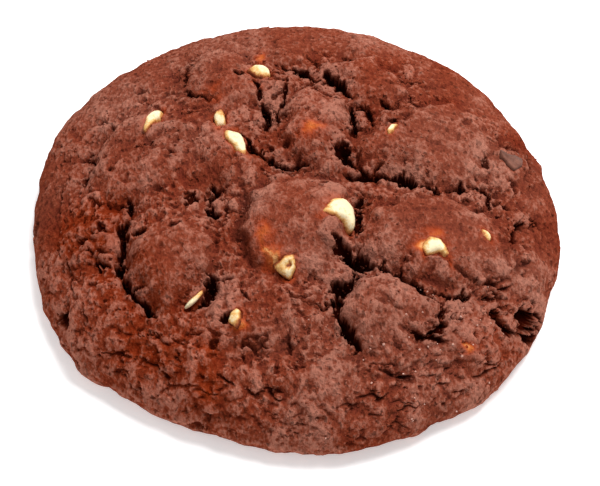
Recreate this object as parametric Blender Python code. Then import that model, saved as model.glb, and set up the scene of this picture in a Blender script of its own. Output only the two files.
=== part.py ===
"""A chocolate cashew cookie: a thick domed biscuit whose top has risen into lumps and split into cracks, with
chopped cashew nuts and dark chocolate chunks baked into it.

Metres, +Z up. The origin is the middle of the flat underside, and the front of the cookie faces -Y.
"""

import bmesh
import bpy
import numpy as np
from mathutils import Euler, Matrix, Vector, noise

MM = 0.001

# Driving dimensions in millimetres. The tables further down are in millimetres too, seen from above:
# x to the right and y to the back.
RADIUS = 44.0  # mean radius of the outline
DOME_HEIGHT = 14.4  # dough at the middle, before the lumps
RIM_HEIGHT = 3.2  # where the side is widest
UNDERCUT = 2.8  # how far the side curls in below the rim
DOME_SPREAD = 2.5  # higher keeps the top level further out
DOME_SHOULDER = 0.6  # higher brings the sides down more evenly
BELOW_BASE = 1.0  # dough under the floor plane, cut away to leave the flat underside
CORE_INSET = 12.0  # the relief points away from a flat core this far inside the rim
CORE_HEIGHT = 5.0

# Outline: each lobe adds a cosine to the radius (how many lobes, depth, where one peaks in degrees).
RIM_LOBES = (
    (1, 0.2, -57),
    (2, 0.8, 132),
    (3, 0.25, 75),
    (4, 0.3, 40),
    (5, 0.3, 0),
    (6, 0.2, 34),
    (7, 0.2, 6),
)

# Lumps of risen dough: x, y, half length, half width, turn of the length in degrees, height, flatness of the top.
LUMPS = (
    (0.4, -7.5, 11.2, 9.2, 80, 3.4, 3.6),  # crown
    (-20.5, -14.0, 9.0, 7.6, 60, 2.3, 3.4),  # left mound
    (4.5, 12.5, 10.5, 6.5, 100, 2.3, 3.4),  # back ridge
    (-12.5, 25.0, 8.5, 7.5, 100, 1.6, 3.4),  # back left knob
    (22.0, 11.0, 12.5, 10.0, 30, 2.1, 4.4),  # back right plate
    (22.5, -9.5, 14.0, 9.0, -5, 2.1, 4.4),  # right plate
    (14.5, -24.5, 8.6, 8.0, 20, 2.7, 3.2),  # front right knob
    (-25.5, 8.5, 11.0, 9.0, 70, 1.8, 3.4),  # left cheek
    (12.0, 25.0, 8.0, 6.0, -15, 1.5, 4.0),  # back slab
    (-11.5, 7.5, 9.5, 7.0, 110, 1.2, 3.0),  # nut shelf
    (-5.5, -25.0, 9.5, 7.0, 15, 1.4, 3.0),  # front swell
    (-31.5, -22.5, 9.0, 6.0, -60, 1.4, 3.0),  # front left swell
    (-33.5, -6.0, 9.5, 5.5, 95, 0.9, 3.0),  # left ledge
    (27.5, -25.5, 9.5, 6.5, 25, 1.4, 3.0),  # right front swell
    (36.0, 9.0, 7.0, 5.0, 60, 1.1, 3.0),  # right shoulder
    (37.5, -12.0, 7.5, 4.5, 75, 1.1, 3.0),  # right flank
    (-13.0, -34.5, 9.5, 5.0, -30, 0.9, 3.0),  # front left apron
    (8.0, -35.0, 10.0, 5.0, 10, 0.9, 3.0),  # front apron
)
LUMP_EDGE = 1.25  # higher rounds the foot of each lump further in

# Cracks in the crust: width, depth, and the points they run through.
CRACKS = (
    (1.5, 3.0, ((-26.8, -1.3), (-26.9, -4.2), (-28.1, -6.9), (-28, -10.6), (-28.3, -13.8), (-26.6, -17.7))),
    (1.4, 2.8, ((-27, -16.8), (-25.4, -20.2), (-23.7, -21.5), (-23.6, -23.9))),
    (1.8, 2.8, ((-13.4, -16.8), (-13.7, -18.6), (-13.8, -20), (-14.6, -21.2), (-16, -22.6))),
    (1.3, 2.4, ((-14.2, 3.1), (-13.4, 0), (-13.5, -2.6), (-12.6, -5.3), (-11.2, -5.5))),
    (1.1, 2.0, ((-32.1, 13.9), (-33.7, 10.2), (-34.3, 6), (-34.9, 3.9))),
    (1.2, 1.5, ((-6.3, 24), (-5.5, 19.6))),
    (1.5, 2.6, ((-5.1, 19), (-4.6, 15.3), (-4.4, 13))),
    (1.0, 1.7, ((-1, 25), (-1.8, 20.1), (-2.9, 16.2), (-3.1, 13.8))),
    (1.3, 2.5, ((-8.3, 11.4), (-7.1, 9), (-5.3, 7.3), (-2.8, 5.7), (-0.7, 4.8), (1.4, 5.3), (2.3, 4.7))),
    (1.5, 2.6, ((-3.2, 30), (-1.2, 28.2), (0.8, 28.1), (2.8, 25.8), (4.2, 24.6))),
    (1.9, 3.0, ((5.4, 26.9), (6.8, 24.1), (8.3, 21.7), (9.5, 20.2))),
    (1.0, 1.8, ((8.6, 32), (8.2, 29))),
    (1.2, 2.6, ((9.6, 18.8), (9.9, 15), (10.1, 11.8))),
    (1.1, 2.0, ((12.1, 18.6), (12.7, 15), (12.7, 13.4))),
    (1.2, 1.8, ((13.9, 19.5), (15.8, 19.3), (17.8, 18.4))),
    (2.6, 3.4, ((8.6, 9), (8.2, 7.3), (8.6, 5.8))),
    (1.2, 1.8, ((9, 6.2), (10.8, 5.4), (11.9, 3.2))),
    (1.5, 2.6, ((8.3, 3.6), (11.9, 2.9), (15.7, 2.5))),
    (2.2, 3.2, ((16.4, 2.5), (18.8, 2.1), (20.8, 1.5))),
    (1.1, 1.8, ((24.2, 0.6), (27.3, 1.8), (28.8, 2.5), (31.1, 2.6), (31.9, 1.2), (32.5, -1.6))),
    (1.1, 2.2, ((10.8, -1), (10.2, -6), (10.8, -9.8))),
    (3.0, 3.4, ((6.9, -11.4), (9.2, -13.8), (11.8, -16.3))),
    (1.6, 2.6, ((13.4, -15.6), (16, -17.2), (19, -18.6), (21.6, -21))),
    (2.6, 3.2, ((9.6, -17.8), (7, -20), (7.4, -22.5), (6.8, -25))),
    (1.5, 2.4, ((6.8, -24.5), (8.4, -28), (10.6, -30.6))),
    (1.0, 1.4, ((21.5, -19.8), (27.2, -19.9), (32.4, -19.2))),
    (1.2, 1.6, ((23.3, -22), (23.6, -25.4), (20.6, -28.4))),
    (1.4, 2.2, ((32, -20.4), (32.4, -22), (33.8, -23.8), (35.2, -23.9), (38, -23.3))),
    (1.1, 1.3, ((37, -4.2), (36.3, -6.2), (34.8, -8.8))),
    (1.0, 1.4, ((-18.2, 22.6), (-16.8, 20.9), (-14.6, 20.1))),
    (1.1, 1.8, ((38.9, 13.2), (38.9, 11.3), (39.2, 9.2), (38.9, 6.4))),
    (1.0, 1.4, ((-33.7, -12.5), (-31, -13.2), (-29.2, -13))),
    (1.2, 1.3, ((19, -27), (21.1, -28), (24.9, -28))),
)

# Single holes: x, y, radius, depth.
PITS = (
    (23.0, 0.3, 1.1, 2.6),
    (27.4, 1.7, 0.9, 1.8),
    (37.3, -3.6, 1.2, 3.0),
    (38.1, -21.3, 2.5, 3.6),
    (38.4, -23.4, 1.4, 2.4),
    (32.5, -21.7, 1.1, 2.4),
    (-9.1, 25.6, 0.9, 2.0),
    (-17.0, -1.4, 1.4, 1.5),
    (-24.8, -8.1, 1.0, 1.8),
    (-37.3, -20.9, 1.2, 2.2),
    (-11.0, -25.6, 1.2, 2.0),
    (10.2, -15.5, 1.4, 2.2),
    (-34.6, -8.5, 0.9, 1.5),
)

# Cashew pieces that show: x, y, length, width, height, turn in degrees, how far the middle lies below the dough.
NUTS = (
    (7.3, -7.1, 7.4, 5.3, 4.0, 88, 1.0),
    (-9.2, 8.7, 7.8, 3.5, 3.2, 115, 0.6),
    (-1.8, -17.0, 4.8, 4.0, 2.8, 162, 0.6),
    (22.8, -13.0, 5.8, 4.0, 2.8, 153, 0.7),
    (-23.6, 15.0, 6.4, 2.4, 2.6, 67, 0.7),
    (-5.9, 25.8, 4.2, 3.7, 3.2, 150, 0.4),
    (-12.5, 15.8, 4.1, 1.8, 2.2, 95, 0.5),
    (16.5, 11.7, 3.8, 1.9, 2.2, 55, 0.3),
    (-15.3, -21.0, 6.0, 1.3, 2.2, 48, 0.5),
    (-9.2, -25.8, 2.8, 1.8, 2.4, 85, 0.3),
    (31.4, -9.1, 2.8, 1.5, 2.0, 117, 0.5),
)

# Dark chocolate chunks that show: the same columns as the nuts.
CHUNKS = (
    (36.0, 10.4, 6.3, 4.3, 2.2, 85, 0.8),
    (37.4, -20.8, 3.4, 2.8, 2.8, 35, 3.0),
)

# Roughness of the crust in millimetres: size of the swells, their height, and the seed of the pattern.
SWELLS = (
    (9.0, 0.55, 3.0),
    (4.0, 0.4, 17.0),
    (2.2, 0.22, 31.0),
)
WANDER_SEED = 7  # fixes the pattern of the kinks
WANDER_SIZE = 3.0  # size of the kinks that make edges and cracks irregular
CRACK_WANDER = 0.8  # how far a crack strays
LUMP_WANDER = 1.6  # how far a lump's edge strays
VALLEY_SPREAD = 2.2  # the crust sags for this far beside a crack
VALLEY_DEPTH = 0.52  # the sag's depth as a share of the crack's

BALL_CUTS = 95  # cuts along each cube edge of the fine mesh
DOUGH_TRIANGLES = 10200  # kept for the dough once flat stretches are thinned
BLEND_POWER = 4.0  # how sharply neighbouring lumps meet
BOTTOM_SHARE = 0.15  # how many of the mesh's points the underside gets, against its area
PROFILE_STEPS = 400
COLLECTION = "chocolate_cashew_cookie"


def clear_scene():
    for obj in list(bpy.data.objects):
        bpy.data.objects.remove(obj, do_unlink=True)


def new_collection(name, parent):
    collection = bpy.data.collections.new(name)
    parent.children.link(collection)
    return collection


def principled(name, color, roughness):
    material = bpy.data.materials.new(name)
    material.use_nodes = True
    shader = material.node_tree.nodes["Principled BSDF"]
    shader.inputs["Base Color"].default_value = (*color, 1.0)
    shader.inputs["Roughness"].default_value = roughness
    shader.inputs["Metallic"].default_value = 0.0
    material.diffuse_color = (*color, 1.0)
    return material


def rim_radius(angle):
    """Radius of the outline at an angle in radians."""
    radius = np.full_like(angle, RADIUS)
    for lobes, depth, peak in RIM_LOBES:
        radius = radius + depth * np.cos(lobes * (angle - np.radians(peak)))
    return radius


def dome_height(x, y):
    """Height of the plain dome above the floor."""
    share = np.hypot(x, y) / rim_radius(np.arctan2(y, x))
    rise = np.maximum(1.0 - share**DOME_SPREAD, 0.0) ** DOME_SHOULDER
    return RIM_HEIGHT + (DOME_HEIGHT - RIM_HEIGHT) * rise


def side_profile():
    """The cookie's half section from the top's middle, round the rim, to the underside's middle.

    It returns the radius as a share of the rim's, the height, and how much of the surface lies above each point.
    """
    turn = np.linspace(0.0, np.pi / 2, PROFILE_STEPS)
    top_radius = np.sin(turn) ** (2 / DOME_SPREAD)
    top_height = RIM_HEIGHT + (DOME_HEIGHT - RIM_HEIGHT) * np.cos(turn) ** (2 * DOME_SHOULDER)
    curl = 1.0 - UNDERCUT / RADIUS * (1.0 - np.cos(turn))
    curl_height = RIM_HEIGHT - (RIM_HEIGHT + BELOW_BASE) * np.sin(turn)
    base_radius = np.linspace(curl[-1], 0.0, PROFILE_STEPS)
    base_height = np.full(PROFILE_STEPS, -BELOW_BASE)
    share = np.concatenate([top_radius, curl[1:], base_radius[1:]])
    height = np.concatenate([top_height, curl_height[1:], base_height[1:]])
    step = np.hypot(np.diff(share) * RADIUS, np.diff(height))
    area = step * (share[1:] + share[:-1])
    area[-(PROFILE_STEPS - 1) :] *= BOTTOM_SHARE
    above = np.concatenate([[0.0], np.cumsum(area)])
    return share, height, above / above[-1]


def cube_ball(cuts):
    """A unit ball made of an evenly cut cube, so that its points lie about equally far apart."""
    mesh = bmesh.new()
    bmesh.ops.create_cube(mesh, size=2.0)
    bmesh.ops.subdivide_edges(mesh, edges=mesh.edges[:], cuts=cuts, use_grid_fill=True)
    for vertex in mesh.verts:
        evened = Vector([np.tan(value * np.pi / 4) for value in vertex.co])
        vertex.co = evened.normalized()
    return mesh


def on_plain_dome(directions):
    """Moves the points of a unit ball onto the smooth cookie, spread evenly over its surface."""
    share, height, above = side_profile()
    placed = (1.0 - directions[:, 2]) / 2
    angle = np.arctan2(directions[:, 1], directions[:, 0])
    radius = np.interp(placed, above, share) * rim_radius(angle)
    heights = np.interp(placed, above, height)
    return np.stack([radius * np.cos(angle), radius * np.sin(angle), heights], axis=1)


def swell(points, size, seed):
    """Smooth noise between about -1 and 1 at each point."""
    offset = Vector((seed, seed, seed))
    return np.array([noise.noise(Vector(point) / size + offset) for point in points])


def strayed(points, reach):
    """The points pushed about by up to about this reach, which makes straight edges wander."""
    pushed = [noise.noise_vector(Vector(point) / WANDER_SIZE) for point in points]
    return points + reach * np.array(pushed)


def lump_relief(points):
    """How far the lumps lift each point: their soft maximum."""
    total = np.zeros(len(points))
    for x, y, half_length, half_width, turn, height, flatness in LUMPS:
        along = np.radians(turn)
        dx = points[:, 0] - x
        dy = points[:, 1] - y
        u = (dx * np.cos(along) + dy * np.sin(along)) / half_length
        v = (dy * np.cos(along) - dx * np.sin(along)) / half_width
        rise = height * np.maximum(1.0 - np.hypot(u, v) ** flatness, 0.0) ** LUMP_EDGE
        total += rise**BLEND_POWER
    return total ** (1 / BLEND_POWER)


def crack_relief(points):
    """How deep the cracks and pits cut at each point."""
    cut = np.zeros(len(points))
    sunk = np.zeros(len(points))
    for width, depth, route in CRACKS:
        flat = np.array(route, float)
        nodes = np.column_stack([flat, dome_height(flat[:, 0], flat[:, 1])])
        lengths = np.linalg.norm(np.diff(nodes, axis=0), axis=1)
        starts = np.concatenate([[0.0], np.cumsum(lengths)])
        nearest = np.full(len(points), np.inf)
        along = np.zeros(len(points))
        for index, length in enumerate(lengths):
            way = (nodes[index + 1] - nodes[index]) / length
            reach = np.clip((points - nodes[index]) @ way, 0.0, length)
            gap = np.linalg.norm(points - nodes[index] - reach[:, None] * way, axis=1)
            closer = gap < nearest
            nearest = np.where(closer, gap, nearest)
            along = np.where(closer, starts[index] + reach, along)
        share = along / starts[-1]
        taper = (0.2 + 3.2 * share * (1.0 - share)) ** 0.5
        across = nearest / (width / 2 * taper)
        trench = depth * taper * np.maximum(1.0 - across**2, 0.0) ** 0.5
        sag = VALLEY_DEPTH * depth * taper * np.exp(-((nearest / VALLEY_SPREAD) ** 2))
        cut = np.maximum(cut, trench)
        sunk = np.maximum(sunk, sag)
    for x, y, radius, depth in PITS:
        middle = np.array([x, y, float(dome_height(np.array(x), np.array(y)))])
        across = np.linalg.norm(points - middle, axis=1) / radius
        cut = np.maximum(cut, depth * np.maximum(1.0 - across**2, 0.0) ** 0.5)
    return cut + sunk


def dough_relief(points):
    """How far the crust stands out from the plain dome, negative in a crack."""
    relief = lump_relief(strayed(points, LUMP_WANDER)) - crack_relief(strayed(points, CRACK_WANDER))
    for size, height, seed in SWELLS:
        relief = relief + height * swell(points, size, seed)
    return relief


def away_from_core(points):
    """Unit directions straight away from the flat core: up over the top, outwards round the rim."""
    reach = np.hypot(points[:, 0], points[:, 1])
    core = np.minimum(1.0, (RADIUS - CORE_INSET) / np.maximum(reach, 1e-6))
    away = np.column_stack([points[:, :2] * (1.0 - core)[:, None], points[:, 2] - CORE_HEIGHT])
    return away / np.linalg.norm(away, axis=1)[:, None]


def read_points(mesh):
    values = np.empty(len(mesh.vertices) * 3, np.float32)
    mesh.vertices.foreach_get("co", values)
    return values.reshape(-1, 3).astype(float)


def make_dough(collection, material):
    """The dough: a fine ball shaped into the cookie, cut flat below and thinned where it is smooth."""
    ball = cube_ball(BALL_CUTS)
    mesh = bpy.data.meshes.new("dough")
    ball.to_mesh(mesh)
    ball.free()
    plain = on_plain_dome(read_points(mesh))
    shaped = plain + away_from_core(plain) * dough_relief(plain)[:, None]
    mesh.vertices.foreach_set("co", (shaped * MM).astype(np.float32).ravel())
    mesh.update()
    dough = bpy.data.objects.new("cookie", mesh)
    dough.data.materials.append(material)
    collection.objects.link(dough)
    thin_mesh(dough)
    cut_flat(dough.data)
    return dough


def cut_flat(mesh):
    """Cuts away what lies below the floor and closes the cut with one flat face."""
    work = bmesh.new()
    work.from_mesh(mesh)
    everything = work.verts[:] + work.edges[:] + work.faces[:]
    cut = bmesh.ops.bisect_plane(
        work, geom=everything, dist=1e-7, plane_co=(0, 0, 0), plane_no=(0, 0, 1), clear_inner=True
    )
    loop = [item for item in cut["geom_cut"] if isinstance(item, bmesh.types.BMEdge)]
    bmesh.ops.contextual_create(work, geom=loop)
    bmesh.ops.triangulate(work, faces=work.faces[:])
    bmesh.ops.recalc_face_normals(work, faces=work.faces[:])
    work.to_mesh(mesh)
    work.free()


def bake_modifiers(obj):
    """Replaces the object's mesh with what its modifiers make of it."""
    graph = bpy.context.evaluated_depsgraph_get()
    made = bpy.data.meshes.new_from_object(obj.evaluated_get(graph))
    obj.modifiers.clear()
    obj.data = made


def thin_mesh(obj):
    modifier = obj.modifiers.new("thin", "DECIMATE")
    obj.data.calc_loop_triangles()
    modifier.ratio = DOUGH_TRIANGLES / len(obj.data.loop_triangles)
    bake_modifiers(obj)


def make_lodged_piece(name, row, sides, dough_top, collection):
    """A chopped nut or a chocolate chunk: a rough faceted lump lodged in the top of the dough."""
    x, y, length, width, height, turn, sunk = row
    mesh = bmesh.new()
    bmesh.ops.create_icosphere(mesh, subdivisions=sides, radius=0.5)
    for vertex in mesh.verts:
        chipped = 1.0 + 0.12 * noise.noise(vertex.co * 3.0 + Vector((x, y, 0)))
        vertex.co *= chipped
    place, tilt = dough_top(x, y)
    place -= tilt @ Vector((0, 0, sunk))
    size = Matrix.Diagonal((length, width, height, 1.0))
    spin = Euler((0, 0, np.radians(turn))).to_matrix().to_4x4()
    pose = Matrix.Translation(place * MM) @ tilt.to_4x4() @ spin @ Matrix.Scale(MM, 4) @ size
    bmesh.ops.transform(mesh, matrix=pose, verts=mesh.verts[:])
    data = bpy.data.meshes.new(name)
    mesh.to_mesh(data)
    mesh.free()
    piece = bpy.data.objects.new(name, data)
    collection.objects.link(piece)
    return piece


def dough_top_finder():
    """Gives a function that finds the lumpy surface at x, y, and the turn that lays a piece along it."""

    def surface(x, y):
        flat = np.array([[x, y, float(dome_height(np.array(x), np.array(y)))]])
        return flat[0, 2] + lump_relief(flat)[0]

    def find(x, y):
        step = 0.8
        slope_x = (surface(x + step, y) - surface(x - step, y)) / (2 * step)
        slope_y = (surface(x, y + step) - surface(x, y - step)) / (2 * step)
        normal = Vector((-slope_x, -slope_y, 1.0)).normalized()
        tilt = Vector((0, 0, 1)).rotation_difference(normal).to_matrix()
        return Vector((x, y, surface(x, y))), tilt

    return find


def join_lodged_pieces(dough, pieces):
    """One union of the dough with all that is lodged in it."""
    modifier = dough.modifiers.new("lodged", "BOOLEAN")
    modifier.operation = "UNION"
    modifier.operand_type = "COLLECTION"
    modifier.collection = pieces
    modifier.solver = "EXACT"
    bpy.context.view_layer.update()
    bake_modifiers(dough)
    for obj in list(pieces.objects):
        bpy.data.objects.remove(obj, do_unlink=True)
    bpy.data.collections.remove(pieces)


def centre_on_base(obj):
    """Puts the middle of the outline's box over the origin, with the underside on the floor."""
    points = read_points(obj.data)
    middle = (points.min(axis=0) + points.max(axis=0)) / 2
    obj.data.transform(Matrix.Translation((-middle[0], -middle[1], 0.0)))
    return middle


def main():
    clear_scene()
    noise.seed_set(WANDER_SEED)
    cookie = new_collection(COLLECTION, bpy.context.scene.collection)
    lodged = new_collection("lodged_pieces", bpy.context.scene.collection)
    crust = principled("baked_chocolate_dough", (0.22, 0.06, 0.034), 0.85)
    dough = make_dough(cookie, crust)
    dough_top = dough_top_finder()
    for index, row in enumerate(NUTS):
        make_lodged_piece(f"nut_{index + 1}", row, 2, dough_top, lodged)
    for index, row in enumerate(CHUNKS):
        make_lodged_piece(f"chunk_{index + 1}", row, 2, dough_top, lodged)
    join_lodged_pieces(dough, lodged)
    return centre_on_base(dough)


main()
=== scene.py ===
import random

import bmesh
import bpy
import numpy as np
from mathutils import Euler, Matrix, Vector, kdtree, noise


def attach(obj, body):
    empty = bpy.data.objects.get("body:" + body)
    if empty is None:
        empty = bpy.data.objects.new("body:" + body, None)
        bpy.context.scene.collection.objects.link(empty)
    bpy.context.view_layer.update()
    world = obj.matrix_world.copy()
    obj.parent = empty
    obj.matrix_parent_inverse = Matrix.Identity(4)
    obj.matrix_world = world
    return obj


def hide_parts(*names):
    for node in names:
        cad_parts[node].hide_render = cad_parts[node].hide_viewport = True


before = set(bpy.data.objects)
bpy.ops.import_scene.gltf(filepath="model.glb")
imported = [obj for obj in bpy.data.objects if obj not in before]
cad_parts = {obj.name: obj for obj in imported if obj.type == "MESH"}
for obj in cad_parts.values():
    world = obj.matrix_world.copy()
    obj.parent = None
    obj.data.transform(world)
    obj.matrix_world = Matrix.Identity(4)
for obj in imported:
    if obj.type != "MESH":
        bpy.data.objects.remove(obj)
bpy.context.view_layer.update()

mm = 0.001
perMetre = 1 / mm
wanderSeed = 7  # cracks and crags wander the same way on each run
noise.seed_set(wanderSeed)


# colours are sRGB hex, shader sockets want linear
def hexToLinear(code):
    parts = [int(code[i:i + 2], 16) / 255 for i in (1, 3, 5)]
    return tuple(c / 12.92 if c <= 0.04045 else ((c + 0.055) / 1.055) ** 2.4 for c in parts) + (1.0,)


# adds one node with its settings, ramp stops, values and links, and gives one of its outputs;
# its kind goes without ShaderNode in front, its inputs by name or by number as i0, i1 and so on
def addNode(tree, kind, settings=None, stops=(), out=0, **inputs):
    node = tree.nodes.new("ShaderNode" + kind)
    for name, value in (settings or {}).items():
        setattr(node, name, value)
    for _ in stops[2:]:  # a ramp has two stops from the start
        node.color_ramp.elements.new(0.5)
    for k, (place, code) in enumerate(stops):
        node.color_ramp.elements[k].position = place
        node.color_ramp.elements[k].color = hexToLinear(code)
    for name, value in inputs.items():
        key = int(name[1:]) if name[0] == "i" and name[1:].isdigit() else name.replace("_", " ")
        if isinstance(value, bpy.types.NodeSocket):
            tree.links.new(value, node.inputs[key])
        else:
            node.inputs[key].default_value = value
    return node.outputs[out]


def newMaterial(name):
    material = bpy.data.materials.new(name)
    material.use_nodes = True
    tree = material.node_tree
    return material, tree, tree.nodes["Principled BSDF"]


# turns a finished shape into a mesh
def toMesh(shape, name):
    mesh = bpy.data.meshes.new(name)
    shape.to_mesh(mesh)
    shape.free()
    return mesh


def addToScene(name, data):
    thing = bpy.data.objects.new(name, data)
    bpy.context.scene.collection.objects.link(thing)
    return thing


# camera at the photograph's height and distance
view = {
    "elevation": 52.0,  # degrees above the table
    "distance": 500.0,
    "lens": 183.3,
    "sensor": 36.0,
    "nearest": 10.0,  # mm, what is closer isn't drawn
    "aim": (0.6, -6.3, 7.7),  # mm, the point in the middle of the frame
}


def addCamera():
    tilt = np.radians(view["elevation"])
    camera = bpy.data.cameras.new("camera")
    camera.lens = view["lens"]
    camera.sensor_width = view["sensor"]
    camera.clip_start = view["nearest"] * mm
    holder = addToScene("camera", camera)
    back = Vector((0, -np.cos(tilt), np.sin(tilt)))
    holder.location = (Vector(view["aim"]) + back * view["distance"]) * mm
    holder.rotation_euler = Euler((np.pi / 2 - tilt, 0, 0))
    bpy.context.scene.camera = holder


# one softbox high at the back right, a weak one at the front left, and a white table; mm and watts
studio = {
    "lamps": {
        "key": {"place": (165, 195, 510), "size": 320, "power": 4.0, "color": "#ffffff"},
        "fill": {"place": (-420, -260, 380), "size": 520, "power": 0.2, "color": "#f4f6ff"},
    },
    "sky": 0.37,
    "skyColor": "#ffffff",
    "tableHalf": 3000.0,
    "tableDrop": 0.2,  # keeps the table clear of the cookie's underside
    "tableColor": "#ffffff",
    "tableRoughness": 0.9,
    "tableGlow": 0.4,  # the white table is lit a little from below
}


def addLights():
    for name, values in studio["lamps"].items():
        lamp = bpy.data.lights.new(name, "AREA")
        lamp.size = values["size"] * mm
        lamp.energy = values["power"]
        lamp.color = hexToLinear(values["color"])[:3]
        holder = addToScene(name, lamp)
        holder.location = Vector(values["place"]) * mm
        holder.rotation_euler = (-holder.location).to_track_quat("-Z", "Y").to_euler()
    world = bpy.data.worlds.new("softbox room")
    world.use_nodes = True
    sky = world.node_tree.nodes["Background"]
    sky.inputs["Color"].default_value = hexToLinear(studio["skyColor"])
    sky.inputs["Strength"].default_value = studio["sky"]
    bpy.context.scene.world = world


def addFloor():
    shape = bmesh.new()
    under = Matrix.Translation((0, 0, -studio["tableDrop"] * mm))
    bmesh.ops.create_grid(shape, x_segments=1, y_segments=1, size=studio["tableHalf"] * mm, matrix=under)
    floor = addToScene("floor", toMesh(shape, "floor"))
    floor.data.materials.append(paperMaterial())


# white paper sweep: bright and flat, gives the eye a plain ground with a soft shadow
def paperMaterial():
    material, _, shader = newMaterial("white paper sweep")
    shader.inputs["Base Color"].default_value = hexToLinear(studio["tableColor"])
    shader.inputs["Roughness"].default_value = studio["tableRoughness"]
    shader.inputs["Emission Color"].default_value = hexToLinear(studio["tableColor"])
    shader.inputs["Emission Strength"].default_value = studio["tableGlow"]
    return material


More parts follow.
